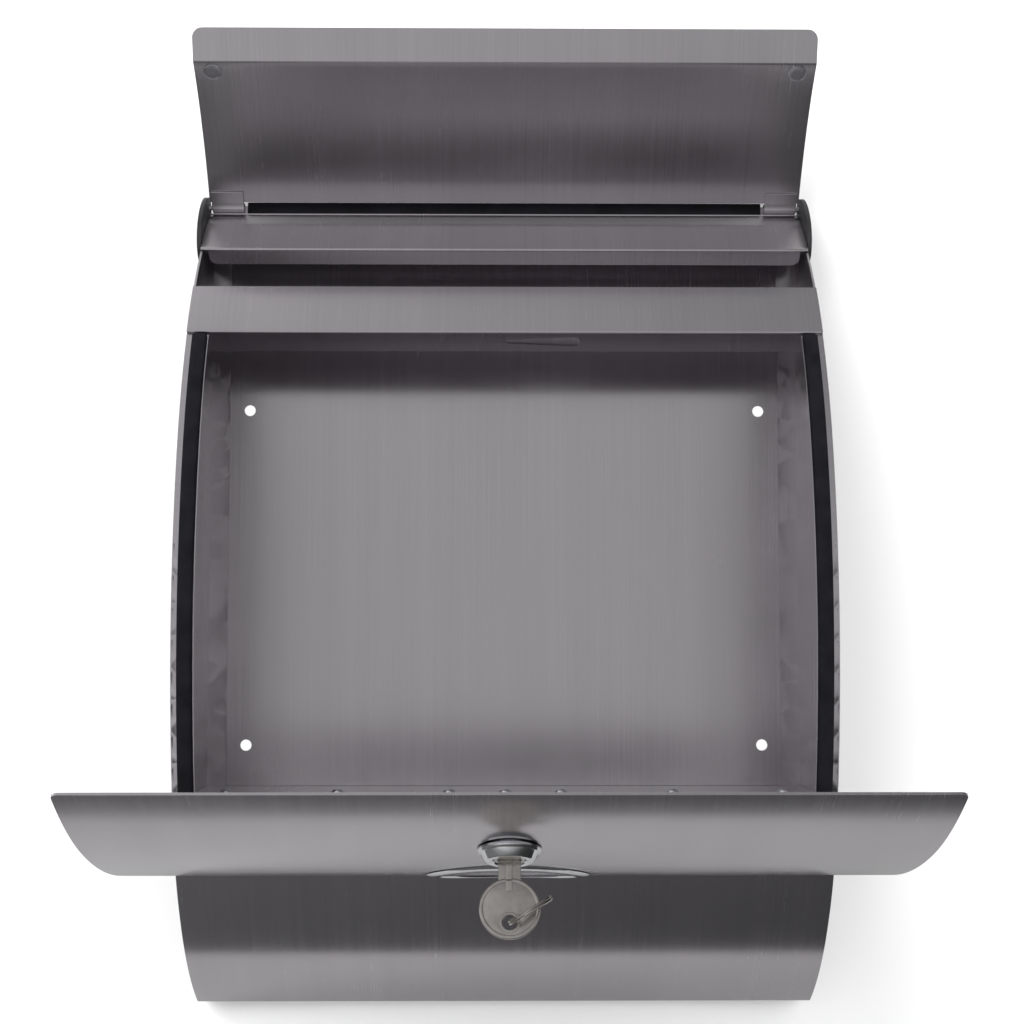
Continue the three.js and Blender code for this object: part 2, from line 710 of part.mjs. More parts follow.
function lockPlug() {
  const cylinder = turned(
    [
      [0, plugEnd],
      [PLUG_RADIUS, plugEnd],
      [PLUG_RADIUS, plugFace],
      [0, plugFace],
    ],
    32,
  );
  const tailLength = plugEnd + 1 - camBottom;
  const tail = new THREE.BoxGeometry(2 * TAIL, 2 * TAIL, tailLength);
  tail.translate(0, 0, camBottom + tailLength / 2).rotateZ(CAM.rest);
  const keyway = new THREE.BoxGeometry(KEY.width + 2 * GAP, KEY.thickness + 2 * GAP, 30);
  keyway.translate(0, 0, KEY.tip - 1 + 15);
  const screwHole = new THREE.CylinderGeometry(1.5, 1.5, 2 * tailLength, 16).rotateX(Math.PI / 2);
  screwHole.translate(0, 0, camBottom);
  return cut(join(cylinder, tail), keyway, screwHole);
}

function cam() {
  const shape = new THREE.Shape();
  const end = CAM.reach - CAM.tip;
  const lean = Math.asin((CAM.hub - CAM.tip) / end);
  shape.absarc(0, 0, CAM.hub, Math.PI / 2 - lean, (3 * Math.PI) / 2 + lean);
  shape.absarc(end, 0, CAM.tip, -Math.PI / 2 + lean, Math.PI / 2 - lean);
  const side = TAIL + GAP;
  const square = new THREE.Path([
    new THREE.Vector2(-side, -side),
    new THREE.Vector2(-side, side),
    new THREE.Vector2(side, side),
    new THREE.Vector2(side, -side),
  ]);
  shape.holes.push(square);
  const geometry = new THREE.ExtrudeGeometry(shape, {
    depth: CAM.thickness,
    bevelEnabled: false,
    curveSegments: 14,
  });
  return geometry.translate(0, 0, camBottom).rotateZ(CAM.rest);
}

function camScrew() {
  const head = camBottom - GAP;
  return turned(
    [
      [0, head - 2],
      [3.4, head - 2],
      [4, head - 1.4],
      [4, head],
      [1.2, head],
      [1.2, camTop],
      [0, camTop],
    ],
    24,
  );
}

// The bow, neck and blade are cut from one plate that lies across the lock's Y axis.
function key() {
  const { bowRadius, bowCentre, width, thickness, hole, holeCentre, tip } = KEY;
  const outline = new THREE.Shape();
  const half = width / 2;
  const meet = Math.acos(half / bowRadius);
  outline.moveTo(half, tip + 2);
  for (let i = 0; i < KEY.notches; i += 1) {
    const z = tip + 3 + i * KEY.notchPitch;
    outline.lineTo(half, z);
    outline.lineTo(half - 0.9 - 0.5 * (i % 2), z + 0.7);
    outline.lineTo(half, z + 1.4);
  }
  outline.absarc(0, bowCentre, bowRadius, -meet, Math.PI + meet);
  outline.lineTo(-half, tip + 2);
  outline.lineTo(0, tip);
  outline.holes.push(circlePath(0, holeCentre, hole));
  const geometry = new THREE.ExtrudeGeometry(outline, {
    depth: thickness,
    bevelEnabled: false,
    curveSegments: 16,
  });
  return geometry.rotateX(Math.PI / 2).translate(0, thickness / 2, 0);
}

// The split ring threads the hole of the bow and stands across its plane, swung to the right of the key.
function keyRing() {
  const direction = new THREE.Vector3(Math.sin(RING.lean), 0, -Math.cos(RING.lean));
  const upright = new THREE.Vector3(0, 1, 0).applyAxisAngle(direction, RING.tilt);
  const basis = new THREE.Matrix4().makeBasis(direction, upright, direction.clone().cross(upright));
  const geometry = new THREE.TorusGeometry(RING.radius, RING.wire, 8, 32).applyMatrix4(basis);
  const centre = direction.multiplyScalar(RING.radius).add(new THREE.Vector3(0, 0, KEY.holeCentre));
  return geometry.translate(centre.x, centre.y, centre.z);
}

add(lockFrame, "lock_housing", lockHousing(), chrome);
add(lockFrame, "lock_nut", lockNut(), zinc);
add(lockFrame, "lock_plug", lockPlug(), nickel);
add(lockFrame, "cam", cam(), zinc);
add(lockFrame, "cam_screw", camScrew(), zinc);
add(lockFrame, "key", key(), nickel);
add(lockFrame, "key_ring", keyRing(), nickel);

export default mailbox;
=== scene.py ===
"""Looks of the wall-mounted mailbox: fine folded sheets, lock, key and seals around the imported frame."""
import json
import math

import bmesh
import bpy
from mathutils import Matrix, Vector

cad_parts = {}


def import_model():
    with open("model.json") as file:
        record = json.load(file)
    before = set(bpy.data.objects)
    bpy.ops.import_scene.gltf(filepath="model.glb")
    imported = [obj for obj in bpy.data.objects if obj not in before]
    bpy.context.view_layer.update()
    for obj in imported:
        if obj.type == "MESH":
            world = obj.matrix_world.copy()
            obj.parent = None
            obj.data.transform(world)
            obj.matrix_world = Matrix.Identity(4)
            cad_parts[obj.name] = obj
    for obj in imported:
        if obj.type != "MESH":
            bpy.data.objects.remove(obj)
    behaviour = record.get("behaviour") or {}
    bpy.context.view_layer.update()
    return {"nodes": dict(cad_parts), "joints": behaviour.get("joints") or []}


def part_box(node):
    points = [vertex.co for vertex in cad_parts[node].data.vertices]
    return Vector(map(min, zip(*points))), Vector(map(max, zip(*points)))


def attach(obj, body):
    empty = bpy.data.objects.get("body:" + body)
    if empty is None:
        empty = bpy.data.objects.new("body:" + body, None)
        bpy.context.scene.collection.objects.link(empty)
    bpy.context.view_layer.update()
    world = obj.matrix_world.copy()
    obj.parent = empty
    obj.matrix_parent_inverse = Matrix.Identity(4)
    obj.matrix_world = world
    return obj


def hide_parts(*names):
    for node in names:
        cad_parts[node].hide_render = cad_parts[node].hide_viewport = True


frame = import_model()
joints = {joint["name"]: joint for joint in frame["joints"]}
nodes = frame["nodes"]
MM = 0.001

# ---------- driving dimensions, in metres ----------
HALF_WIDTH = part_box("door")[1].x
SHEET = 1.0 * MM
DEPTH = 110.4 * MM  # wall to the foremost point of the front's arch
APEX_Z = -10 * MM
MID_RADIUS = 330 * MM
MID_REACH = 81 * MM
TOP_RADIUS = 225 * MM
BOTTOM_RADIUS = 170 * MM
MID_ANGLE = math.asin(MID_REACH / MID_RADIUS)
BODY_TOP = 200.2 * MM
UPPER_FOLD = 174.4 * MM
LOWER_RAIL_TOP = 151 * MM
LOWER_FOLD = 125.4 * MM
BODY_BOTTOM = -200 * MM
SHELF_Z = -94.5 * MM
DOOR_TOP = 124.8 * MM
DOOR_HINGE_Z = -108.5 * MM
FLAP_TOP = 198 * MM
FLAP_BEND = 141 * MM
LIP_LENGTH = 16 * MM
LIP_BEND = math.radians(37)
REAR = 1.3 * MM  # rear flanges start here, in front of the back panel
WINDOW_Z = 19 * MM
WINDOW_OUTER = 31.8 * MM
WINDOW_INNER = 26 * MM
WINDOW_HOLE = 27 * MM
WINDOW_CREST = 0.8 * MM
LOCK_Z = 80.5 * MM
EDGE = 0.22 * MM  # rounding of a sheet's cut edges
FOLD_RADIUS = 1.3 * MM
HEM_HALF_WIDTH = 141 * MM  # half width of the flanges that pass between the side plates
UPPER_RETURN_REACH = 9 * MM
UPPER_RETURN_HALF_WIDTH = 148.5 * MM
LOWER_RETURN_REACH = 14.5 * MM
LOWER_RETURN_HALF_WIDTH = 145.4 * MM
RETURN_CORNER = 4 * MM
DOOR_CORNER = 2.4 * MM
DOOR_GAP = 1.3 * MM  # between the arch and the inner face of the shut door
FLAP_GAP = 2 * MM
FLAP_CORNER = 5 * MM


# ---------- the arch of the side view ----------
def arch(angle, inset=0.0):
    """(depth from the wall, height) of the arch where its outward normal rises by angle."""
    radius = MID_RADIUS
    if abs(angle) > MID_ANGLE:
        radius = TOP_RADIUS if angle > 0 else BOTTOM_RADIUS
    turn = math.copysign(MID_ANGLE, angle)
    shift = MID_RADIUS - radius
    depth = DEPTH - MID_RADIUS + shift * math.cos(turn)
    height = APEX_Z + shift * math.sin(turn)
    reach = radius - inset
    return Vector((depth + reach * math.cos(angle), height + reach * math.sin(angle)))


def angle_at(z):
    rise = z - APEX_Z
    if abs(rise) <= MID_REACH:
        return math.asin(rise / MID_RADIUS)
    radius = TOP_RADIUS if rise > 0 else BOTTOM_RADIUS
    centre = math.copysign(MID_RADIUS - radius, rise) * math.sin(MID_ANGLE)
    return math.asin((rise - centre) / radius)


def normal_at(angle):
    return Vector((math.cos(angle), math.sin(angle)))


def arch_path(z_from, z_to, inset, step=math.radians(0.8)):
    """Points along the arch between two heights."""
    first, last = angle_at(z_from), angle_at(z_to)
    count = max(2, math.ceil(abs(last - first) / step))
    return [arch(first + (last - first) * i / count, inset) for i in range(count + 1)]


def rounded(points, radius, steps=6, sharp=math.radians(20)):
    """A path whose sharp bends are replaced by arcs."""
    out = [points[0]]
    for before, here, after in zip(points, points[1:], points[2:]):
        into, leave = (here - before).normalized(), (after - here).normalized()
        turn = into.angle_signed(leave)
        if abs(turn) < sharp:
            out.append(here)
            continue
        room = 0.45 * min((here - before).length, (after - here).length)
        back = min(radius * math.tan(abs(turn) / 2), room)
        start, end = here - into * back, here + leave * back
        for i in range(steps + 1):
            t = i / steps
            out.append(start.lerp(here, t).lerp(here.lerp(end, t), t))
    out.append(points[-1])
    return out


# ---------- mesh helpers ----------
def finish_mesh(name, bm, smooth_angle=20):
    bmesh.ops.recalc_face_normals(bm, faces=bm.faces)
    mesh = bpy.data.meshes.new(name)
    bm.to_mesh(mesh)
    bm.free()
    mesh.shade_smooth()
    mesh.set_sharp_from_angle(angle=math.radians(smooth_angle))
    piece = bpy.data.objects.new(name, mesh)
    bpy.context.scene.collection.objects.link(piece)
    return piece


def bevel_sharp(bm, width, segments=2, angle=math.radians(50)):
    edges = [e for e in bm.edges if e.is_manifold and e.calc_face_angle(0) > angle]
    bmesh.ops.bevel(bm, geom=edges, offset=width, offset_type="OFFSET", segments=segments,
                    affect="EDGES", profile=0.5, clamp_overlap=True)


def path_normals(path):
    """Normals a quarter turn clockwise from the path's direction."""
    out = []
    for i in range(len(path)):
        ahead = path[min(i + 1, len(path) - 1)] - path[max(i - 1, 0)]
        out.append(Vector((ahead.y, -ahead.x)).normalized())
    return out


def grid_faces(bm, rows):
    for low, high in zip(rows, rows[1:]):
        for i in range(len(low) - 1):
            bm.faces.new((low[i], low[i + 1], high[i + 1], high[i]))


def sheet(path, widths, thickness=SHEET, columns=40, x_from=None):
    """A folded sheet: path is one face in the side view, the other lies clockwise of it.
    widths gives the half width at each point, or the far side when x_from is given."""
    bm = bmesh.new()
    normals = path_normals(path)

    def layer(offset):
        rows = []
        for point, normal, width in zip(path, normals, widths):
            place = point + normal * offset
            near = -width if x_from is None else x_from
            row = [near + (width - near) * i / columns for i in range(columns + 1)]
            rows.append([bm.verts.new((x, -place.x, place.y)) for x in row])
        return rows

    front, rear = layer(0.0), layer(thickness)
    grid_faces(bm, front)
    grid_faces(bm, rear)
    for a, b in ((front[0], rear[0]), (front[-1], rear[-1])):
        grid_faces(bm, [a, b])
    for end in (0, -1):
        grid_faces(bm, [[row[end] for row in front], [row[end] for row in rear]])
    bmesh.ops.recalc_face_normals(bm, faces=bm.faces)
    bevel_sharp(bm, EDGE)
    return bm


def end_rounding(path, width, radius, at_start=False):
    """Half widths along a path whose last corners are rounded."""
    lengths = [0.0]
    for a, b in zip(path, path[1:]):
        lengths.append(lengths[-1] + (b - a).length)
    total = lengths[-1]
    widths = []
    for s in lengths:
        to_end = s if at_start else total - s
        near = max(0.0, radius - to_end)
        widths.append(width - radius + math.sqrt(max(0.0, radius**2 - near**2)))
    return widths


def refine_end(path, radius, steps=8):
    """Adds points to the last stretch of a path so that a rounded corner is smooth."""
    last, before = path[-1], path[-2]
    back = (before - last).normalized()
    out = list(path[:-1])
    for i in range(steps + 1):
        out.append(last + back * radius * (1 - math.sin(i / steps * math.pi / 2)))
    return out


def lathe(profile, segments=64, frame_matrix=Matrix.Identity(4)):
    """A turned solid: profile is (radius, height) pairs round a closed loop or from axis to axis."""
    bm = bmesh.new()
    rings = []
    for radius, height in profile:
        if radius < 1e-7:
            rings.append([bm.verts.new((0, 0, height))])
            continue
        rings.append([
            bm.verts.new((radius * math.cos(a), radius * math.sin(a), height))
            for a in (2 * math.pi * i / segments for i in range(segments))
        ])
    pairs = list(zip(rings, rings[1:]))
    if len(rings[0]) > 1:
        pairs.append((rings[-1], rings[0]))
    for low, high in pairs:
        for i in range(segments):
            a, b = i, (i + 1) % segments
            face = [low[a % len(low)], low[b % len(low)], high[b % len(high)], high[a % len(high)]]
            face = list(dict.fromkeys(face))
            if len(face) > 2:
                bm.faces.new(face)
    bmesh.ops.transform(bm, matrix=frame_matrix, verts=bm.verts)
    return bm


def merge(bm, *others):
    for other in others:
        mesh = bpy.data.meshes.new("part")
        other.to_mesh(mesh)
        other.free()
        bm.from_mesh(mesh)
        bpy.data.meshes.remove(mesh)
    return bm


def plate(outlines, thickness, bevel, frame_matrix):
    """A flat plate with rounded rims, cut from closed outlines; all but the first are holes."""
    curve = bpy.data.curves.new("plate", "CURVE")
    curve.dimensions = "2D"
    curve.fill_mode = "BOTH"
    curve.extrude = thickness / 2 - bevel
    curve.bevel_depth = bevel
    curve.bevel_resolution = 3
    curve.offset = -bevel
    for outline in outlines:
        spline = curve.splines.new("POLY")
        spline.points.add(len(outline) - 1)
        for point, (x, y) in zip(spline.points, outline):
            point.co = (x, y, 0, 1)
        spline.use_cyclic_u = True
    holder = bpy.data.objects.new("plate", curve)
    bpy.context.scene.collection.objects.link(holder)
    mesh = bpy.data.meshes.new_from_object(holder.evaluated_get(bpy.context.evaluated_depsgraph_get()))
    bm = bmesh.new()
    bm.from_mesh(mesh)
    bmesh.ops.remove_doubles(bm, verts=bm.verts, dist=1e-6)
    bmesh.ops.transform(bm, matrix=frame_matrix, verts=bm.verts)
    bpy.data.objects.remove(holder)
    bpy.data.curves.remove(curve)
    bpy.data.meshes.remove(mesh)
    return bm


def bore(bm_target, cutters, name, smooth_angle=20):
    """The target with each cutter taken out of it."""
    piece = finish_mesh(name, bm_target, smooth_angle)
    tools = []
    for i, cutter in enumerate(cutters):
        tool = finish_mesh(f"{name}_cutter_{i}", cutter)
        tools.append(tool)
        step = piece.modifiers.new("cut", "BOOLEAN")
        step.operation = "DIFFERENCE"
        step.solver = "EXACT"
        step.object = tool
    bpy.context.view_layer.update()
    depsgraph = bpy.context.evaluated_depsgraph_get()
    mesh = bpy.data.meshes.new_from_object(piece.evaluated_get(depsgraph))
    piece.modifiers.clear()
    old = piece.data
    piece.data = mesh
    bpy.data.meshes.remove(old)
    for tool in tools:
        bpy.data.objects.remove(tool)
    mesh.shade_smooth()
    mesh.set_sharp_from_angle(angle=math.radians(smooth_angle))
    return piece


def along_normal(angle, inset=0.0):
    """A frame on the arch: X to the right, Y up along the sheet, Z outward."""
    centre = arch(angle, inset)
    return Matrix.Translation((0, -centre.x, centre.y)) @ Matrix.Rotation(math.pi / 2 - angle, 4, "X")


def opened(joint_name):
    """From the shut place of a leaf to its place at rest."""
    joint = joints[joint_name]
    place = Vector(joint["pos_m"])
    turn = Matrix.Rotation(-math.radians(joint["range_deg"][1]), 4, Vector(joint["axis"]))
    return Matrix.Translation(place) @ turn @ Matrix.Translation(-place)


def refined(node, width=0.25 * MM, segments=2, smooth_angle=20):
    """A copy of a frame node with its facets merged, its edges rounded and its curves smooth."""
    bm = bmesh.new()
    bm.from_mesh(nodes[node].data)
    bmesh.ops.remove_doubles(bm, verts=bm.verts, dist=1e-6)
    bmesh.ops.dissolve_limit(bm, angle_limit=math.radians(0.5), verts=bm.verts, edges=bm.edges)
    bmesh.ops.recalc_face_normals(bm, faces=bm.faces)
    if width:
        bevel_sharp(bm, width, segments)
    return finish_mesh(node + "_fine", bm, smooth_angle)


def use(piece, body, slot, material, *replaced):
    piece.data.materials.clear()
    piece.data.materials.append(material)
    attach(piece, body)
    if replaced:
        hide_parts(*replaced)
    return piece


# ---------- materials ----------
def new_material(name, color, metallic, roughness):
    material = bpy.data.materials.new(name)
    material.use_nodes = True
    shader = material.node_tree.nodes["Principled BSDF"]
    shader.inputs["Base Color"].default_value = (*color, 1)
    shader.inputs["Metallic"].default_value = metallic
    shader.inputs["Roughness"].default_value = roughness
    return material, shader


def noise(material, scale, detail=2.0, roughness=0.5):
    """A noise in the piece's own metres; scale is its frequency along X, Y and Z."""
    tree = material.node_tree
    coordinates = tree.nodes.new("ShaderNodeTexCoord")
    mapping = tree.nodes.new("ShaderNodeMapping")
    mapping.inputs["Scale"].default_value = scale
    texture = tree.nodes.new("ShaderNodeTexNoise")
    texture.inputs["Scale"].default_value = 1
    texture.inputs["Detail"].default_value = detail
    texture.inputs["Roughness"].default_value = roughness
    tree.links.new(coordinates.outputs["Object"], mapping.inputs["Vector"])
    tree.links.new(mapping.outputs["Vector"], texture.inputs["Vector"])
    return texture.outputs["Fac"]


def spread(material, value, low, high, middle=0.5, reach=0.18):
    """Maps a noise round its middle to a range."""
    node = material.node_tree.nodes.new("ShaderNodeMapRange")
    node.inputs["From Min"].default_value = middle - reach
    node.inputs["From Max"].default_value = middle + reach
    node.inputs["To Min"].default_value = low
    node.inputs["To Max"].default_value = high
    material.node_tree.links.new(value, node.inputs["Value"])
    return node.outputs["Result"]


def combine(material, operation, a, b):
    node = material.node_tree.nodes.new("ShaderNodeMath")
    node.operation = operation
    for socket, value in zip(node.inputs, (a, b)):
        if isinstance(value, (int, float)):
            socket.default_value = value
        else:
            material.node_tree.links.new(value, socket)
    return node.outputs["Value"]


def tint(material, value, dark, light):
    node = material.node_tree.nodes.new("ShaderNodeMix")
    node.data_type = "RGBA"
    node.inputs["A"].default_value = (*dark, 1)
    node.inputs["B"].default_value = (*light, 1)
    material.node_tree.links.new(value, node.inputs["Factor"])
    return node.outputs["Result"]


def bump(material, shader, height, distance, strength=1.0):
    node = material.node_tree.nodes.new("ShaderNodeBump")
    node.inputs["Distance"].default_value = distance
    node.inputs["Strength"].default_value = strength
    material.node_tree.links.new(height, node.inputs["Height"])
    material.node_tree.links.new(node.outputs["Normal"], shader.inputs["Normal"])


def brushed(name, color=(0.565, 0.541, 0.567), across="X", rough=0.24):
    """Brushed sheet whose lines are fine in one direction and long in the other two."""
    material, shader = new_material(name, color, 1.0, rough)
    tree = material.node_tree

    def lines(fine, long):
        return tuple(fine if axis == across else long for axis in "XYZ")

    hair = noise(material, lines(3400, 10), 3, 0.6)
    streak = noise(material, lines(900, 4), 3, 0.6)
    broad = noise(material, lines(60, 2.5), 2)
    smudge = noise(material, (16, 16, 16), 4, 0.6)
    fine_share = combine(material, "MULTIPLY", hair, 0.6)
    grain = combine(material, "ADD", fine_share, combine(material, "MULTIPLY", streak, 0.4))
    shade = combine(material, "ADD", spread(material, grain, 0, 0.55), spread(material, broad, 0, 0.25))
    shade = combine(material, "ADD", shade, spread(material, smudge, 0, 0.2))
    dark = tuple(c * 0.91 for c in color)
    light = tuple(min(1, c * 1.08) for c in color)
    tree.links.new(tint(material, shade, dark, light), shader.inputs["Base Color"])
    polish = spread(material, grain, rough - 0.03, rough + 0.03)
    wear = combine(material, "ADD", polish, spread(material, smudge, -0.02, 0.02))
    tree.links.new(wear, shader.inputs["Roughness"])
    bump(material, shader, grain, 0.0025 * MM)
    shader.inputs["Anisotropic"].default_value = 0.85
    tangent = tree.nodes.new("ShaderNodeCombineXYZ")
    tangent.inputs[across].default_value = 1
    tree.links.new(tangent.outputs["Vector"], shader.inputs["Tangent"])
    return material


def plated(name, color, rough, variation=0.03, grain=1500, relief=0.004):
    """Plated or polished metal with faint wear."""
    material, shader = new_material(name, color, 1.0, rough)
    tree = material.node_tree
    worn = noise(material, (220, 220, 220), 4, 0.65)
    fine = noise(material, (grain, grain, grain), 3)
    dark = tuple(c * 0.86 for c in color)
    light = tuple(min(1, c * 1.08) for c in color)
    tree.links.new(tint(material, spread(material, worn, 0, 1), dark, light), shader.inputs["Base Color"])
    tree.links.new(spread(material, worn, rough, rough + variation), shader.inputs["Roughness"])
    bump(material, shader, fine, relief * MM)
    return material


def moulded(name, color, rough, grain=1800, relief=0.02, specular=0.5):
    """Moulded plastic or rubber with a fine texture."""
    material, shader = new_material(name, color, 0.0, rough)
    tree = material.node_tree
    fine = noise(material, (grain, grain, grain), 4, 0.6)
    cloud = noise(material, (90, 90, 90), 3)
    dark = tuple(c * 0.75 for c in color)
    light = tuple(min(1, c * 1.3) for c in color)
    tree.links.new(tint(material, spread(material, cloud, 0, 1), dark, light), shader.inputs["Base Color"])
    tree.links.new(spread(material, fine, rough - 0.06, rough + 0.06), shader.inputs["Roughness"])
    bump(material, shader, fine, relief * MM)
    shader.inputs["Specular IOR Level"].default_value = specular
    return material


def clear(name, color, rough, transmission):
    material, shader = new_material(name, color, 0.0, rough)
    cloud = noise(material, (160, 160, 160), 4)
    dark = tuple(c * 0.9 for c in color)
    clouded = tint(material, spread(material, cloud, 0, 1), dark, color)
    material.node_tree.links.new(clouded, shader.inputs["Base Color"])
    material.node_tree.links.new(spread(material, cloud, rough, rough + 0.08), shader.inputs["Roughness"])
    shader.inputs["Transmission Weight"].default_value = transmission
    shader.inputs["IOR"].default_value = 1.46
    return material


STEEL = brushed("brushed_stainless")
STEEL_SIDE = brushed("brushed_stainless_sides", across="Y")
CHROME = plated("chrome_plate", (0.78, 0.79, 0.81), 0.06)
NICKEL = plated("nickel_plate", (0.53, 0.505, 0.475), 0.2, 0.04, 700, 0.003)
ZINC = plated("zinc_plate", (0.60, 0.61, 0.62), 0.34, 0.1, 1200, 0.01)
RIVET = plated("rivet_metal", (0.76, 0.77, 0.78), 0.2, 0.08)
RUBBER = moulded("gasket_rubber", (0.008, 0.008, 0.01), 0.78, 1400, 0.05, 0.12)
PLASTIC = moulded("black_plastic", (0.018, 0.018, 0.02), 0.42)
CLEAR = clear("clear_bumper", (0.72, 0.72, 0.74), 0.12, 0.97)
PANE = clear("smoked_pane", (0.42, 0.43, 0.45), 0.08, 0.6)


# ---------- folded sheets of the body ----------
def upper_rail():
    face = arch_path(BODY_TOP, UPPER_FOLD, 0)
    fold = angle_at(UPPER_FOLD)
    tip = face[-1] - normal_at(fold) * UPPER_RETURN_REACH
    top = BODY_TOP - 0.4 * MM
    rear = [Vector((REAR + SHEET, BODY_TOP - 10 * MM)), Vector((REAR + SHEET, top)), Vector((face[0].x, top))]
    return rear, face, tip


def rail(face, tip, reach, half_flange, inward_start=()):
    """A curved face with a flange folded back from its lower edge, and maybe one from its upper edge."""
    flange = refine_end([face[-1], tip], RETURN_CORNER)
    outline = rounded([*inward_start, *face, *flange[1:]], FOLD_RADIUS)
    fold = face[-1]
    widths = []
    corner = end_rounding(outline, half_flange, RETURN_CORNER)
    inside = len(inward_start)
    for point, narrow in zip(outline, corner):
        along = (point - fold).dot((tip - fold).normalized())
        below = along > 0.9 * MM and (point - tip).length < reach
        behind = inside and point.y > face[0].y - 0.3 * MM and point.x < face[0].x - 0.9 * MM
        behind = behind or (inside and point.x < REAR + 2.5 * MM)
        if below:
            widths.append(narrow)
        elif behind:
            widths.append(HEM_HALF_WIDTH)
        else:
            widths.append(HALF_WIDTH)
    return outline, widths


def build_upper_rail():
    rear, face, tip = upper_rail()
    outline, widths = rail(face, tip, UPPER_RETURN_REACH, UPPER_RETURN_HALF_WIDTH, rear)
    return finish_mesh("upper_rail_fine", sheet(outline, widths))


def build_lower_rail():
    face = arch_path(LOWER_RAIL_TOP, LOWER_FOLD, 0)
    fold = angle_at(LOWER_FOLD)
    inward = -normal_at(fold)
    tip = face[-1] + inward * LOWER_RETURN_REACH
    outline, widths = rail(face, tip, LOWER_RETURN_REACH, LOWER_RETURN_HALF_WIDTH)
    small, large, length, inset = 1.3 * MM, 3.3 * MM, 36 * MM, 7.3 * MM
    lean = math.asin((large - small) / (length - large - small))
    slot = []
    for centre, radius, first, last in (
        (length - large, large, -math.pi / 2 - lean, math.pi / 2 + lean),
        (small, small, math.pi / 2 + lean, 3 * math.pi / 2 - lean),
    ):
        for i in range(25):
            a = first + (last - first) * i / 24
            slot.append((centre + radius * math.cos(a), inset + radius * math.sin(a)))
    place = face[-1]
    basis = Matrix((
        (1, 0, 0, 0),
        (0, -inward.x, inward.y, -place.x),
        (0, inward.y, inward.x, place.y),
        (0, 0, 0, 1),
    ))
    cutter = plate([slot], 8 * MM, 0.01 * MM, basis)
    return bore(sheet(outline, widths, columns=60), [cutter], "lower_rail_fine")


KNUCKLES = 5
BARREL_SPAN = 145 * MM
BARREL_RADIUS = 2.6 * MM
PIVOT = arch(angle_at(DOOR_HINGE_Z), -2.9 * MM)


def knuckle(index):
    pitch = 2 * BARREL_SPAN / KNUCKLES
    start = -BARREL_SPAN + index * pitch + 0.25 * MM
    return start, start + pitch - 0.5 * MM


def barrel(index, inner=1.75 * MM):
    """A rolled knuckle with rounded ends, as a tube along X."""
    start, end = knuckle(index)
    lip = 0.3 * MM
    profile = [
        (inner, start), (BARREL_RADIUS - lip, start), (BARREL_RADIUS, start + lip),
        (BARREL_RADIUS, end - lip), (BARREL_RADIUS - lip, end), (inner, end),
    ]
    turn = Matrix.Translation((0, -PIVOT.x, PIVOT.y)) @ Matrix.Rotation(math.pi / 2, 4, "Y")
    return lathe(profile, 40, turn)


def leaf_to_barrel(index, wanted):
    """The part of a sheet that runs on to its knuckle: wanted is the path in the side view."""
    start, end = knuckle(index)
    return sheet(wanted, [end] * len(wanted), SHEET, 8, start)


def build_tube():
    top = SHELF_Z - SHEET - 0.5 * MM
    face = arch_path(top, BODY_BOTTOM, 0)
    floor = BODY_BOTTOM + 0.6 * MM
    rear = [Vector((50 * MM, top))]
    after = [Vector((REAR + SHEET, floor)), Vector((REAR + SHEET, BODY_BOTTOM + 12 * MM))]
    outline = rounded(rear + face + after, FOLD_RADIUS)
    widths = []
    for point in outline:
        behind_top = point.y > top - 0.2 * MM and point.x < face[0].x - 1.2 * MM
        behind_bottom = point.x < face[-1].x - 1.2 * MM
        widths.append(HEM_HALF_WIDTH if behind_top or behind_bottom else HALF_WIDTH)
    parts = []
    for index in (1, 3):
        low = angle_at(DOOR_HINGE_Z - 2.2 * MM)
        parts.append(leaf_to_barrel(index, [arch(low, 0.2 * MM), arch(low, -2.4 * MM)]))
        parts.append(barrel(index))
    return finish_mesh("newspaper_tube_fine", merge(sheet(outline, widths, columns=48), *parts))


# ---------- leaves ----------
def build_flap():
    face = arch_path(FLAP_TOP, FLAP_BEND, -FLAP_GAP)
    bend = angle_at(FLAP_BEND)
    down = Vector((math.sin(bend), -math.cos(bend)))
    lip = Matrix.Rotation(LIP_BEND, 2) @ down
    tip = face[-1] + lip * (LIP_LENGTH + 0.3 * MM)
    outline = rounded(refine_end(face + [tip], FLAP_CORNER), 2.2 * MM, 8)
    outline = outline[::-1]
    width = HALF_WIDTH - 0.3 * MM
    widths = end_rounding(outline, width, FLAP_CORNER, at_start=True)
    bm = sheet(outline, widths, columns=48)
    bmesh.ops.transform(bm, matrix=opened("flap_hinge"), verts=bm.verts)
    return finish_mesh("flap_fine", bm)


def build_door():
    clear_of_barrels = DOOR_HINGE_Z + BARREL_RADIUS + 0.5 * MM
    face = arch_path(DOOR_TOP, clear_of_barrels, -DOOR_GAP, math.radians(1))[::-1]
    outline = refine_end(face, DOOR_CORNER)
    widths = end_rounding(outline, HALF_WIDTH, DOOR_CORNER)
    parts = []
    for index in (0, 2, 4):
        tab = arch_path(clear_of_barrels + 0.5 * MM, DOOR_HINGE_Z + 1.4 * MM, -DOOR_GAP - 0.05 * MM)[::-1]
        parts.append(leaf_to_barrel(index, tab))
        parts.append(barrel(index))
    bm = merge(sheet(outline, widths, columns=60), *parts)
    cutters = []
    for angle, radius in ((angle_at(WINDOW_Z), WINDOW_HOLE), (angle_at(LOCK_Z), 9.3 * MM)):
        place = along_normal(angle)
        cutters.append(lathe([(0, -12 * MM), (radius, -12 * MM), (radius, 12 * MM), (0, 12 * MM)], 72, place))
    door = bore(bm, cutters, "door_fine")
    door.data.transform(opened("door_hinge"))
    return door


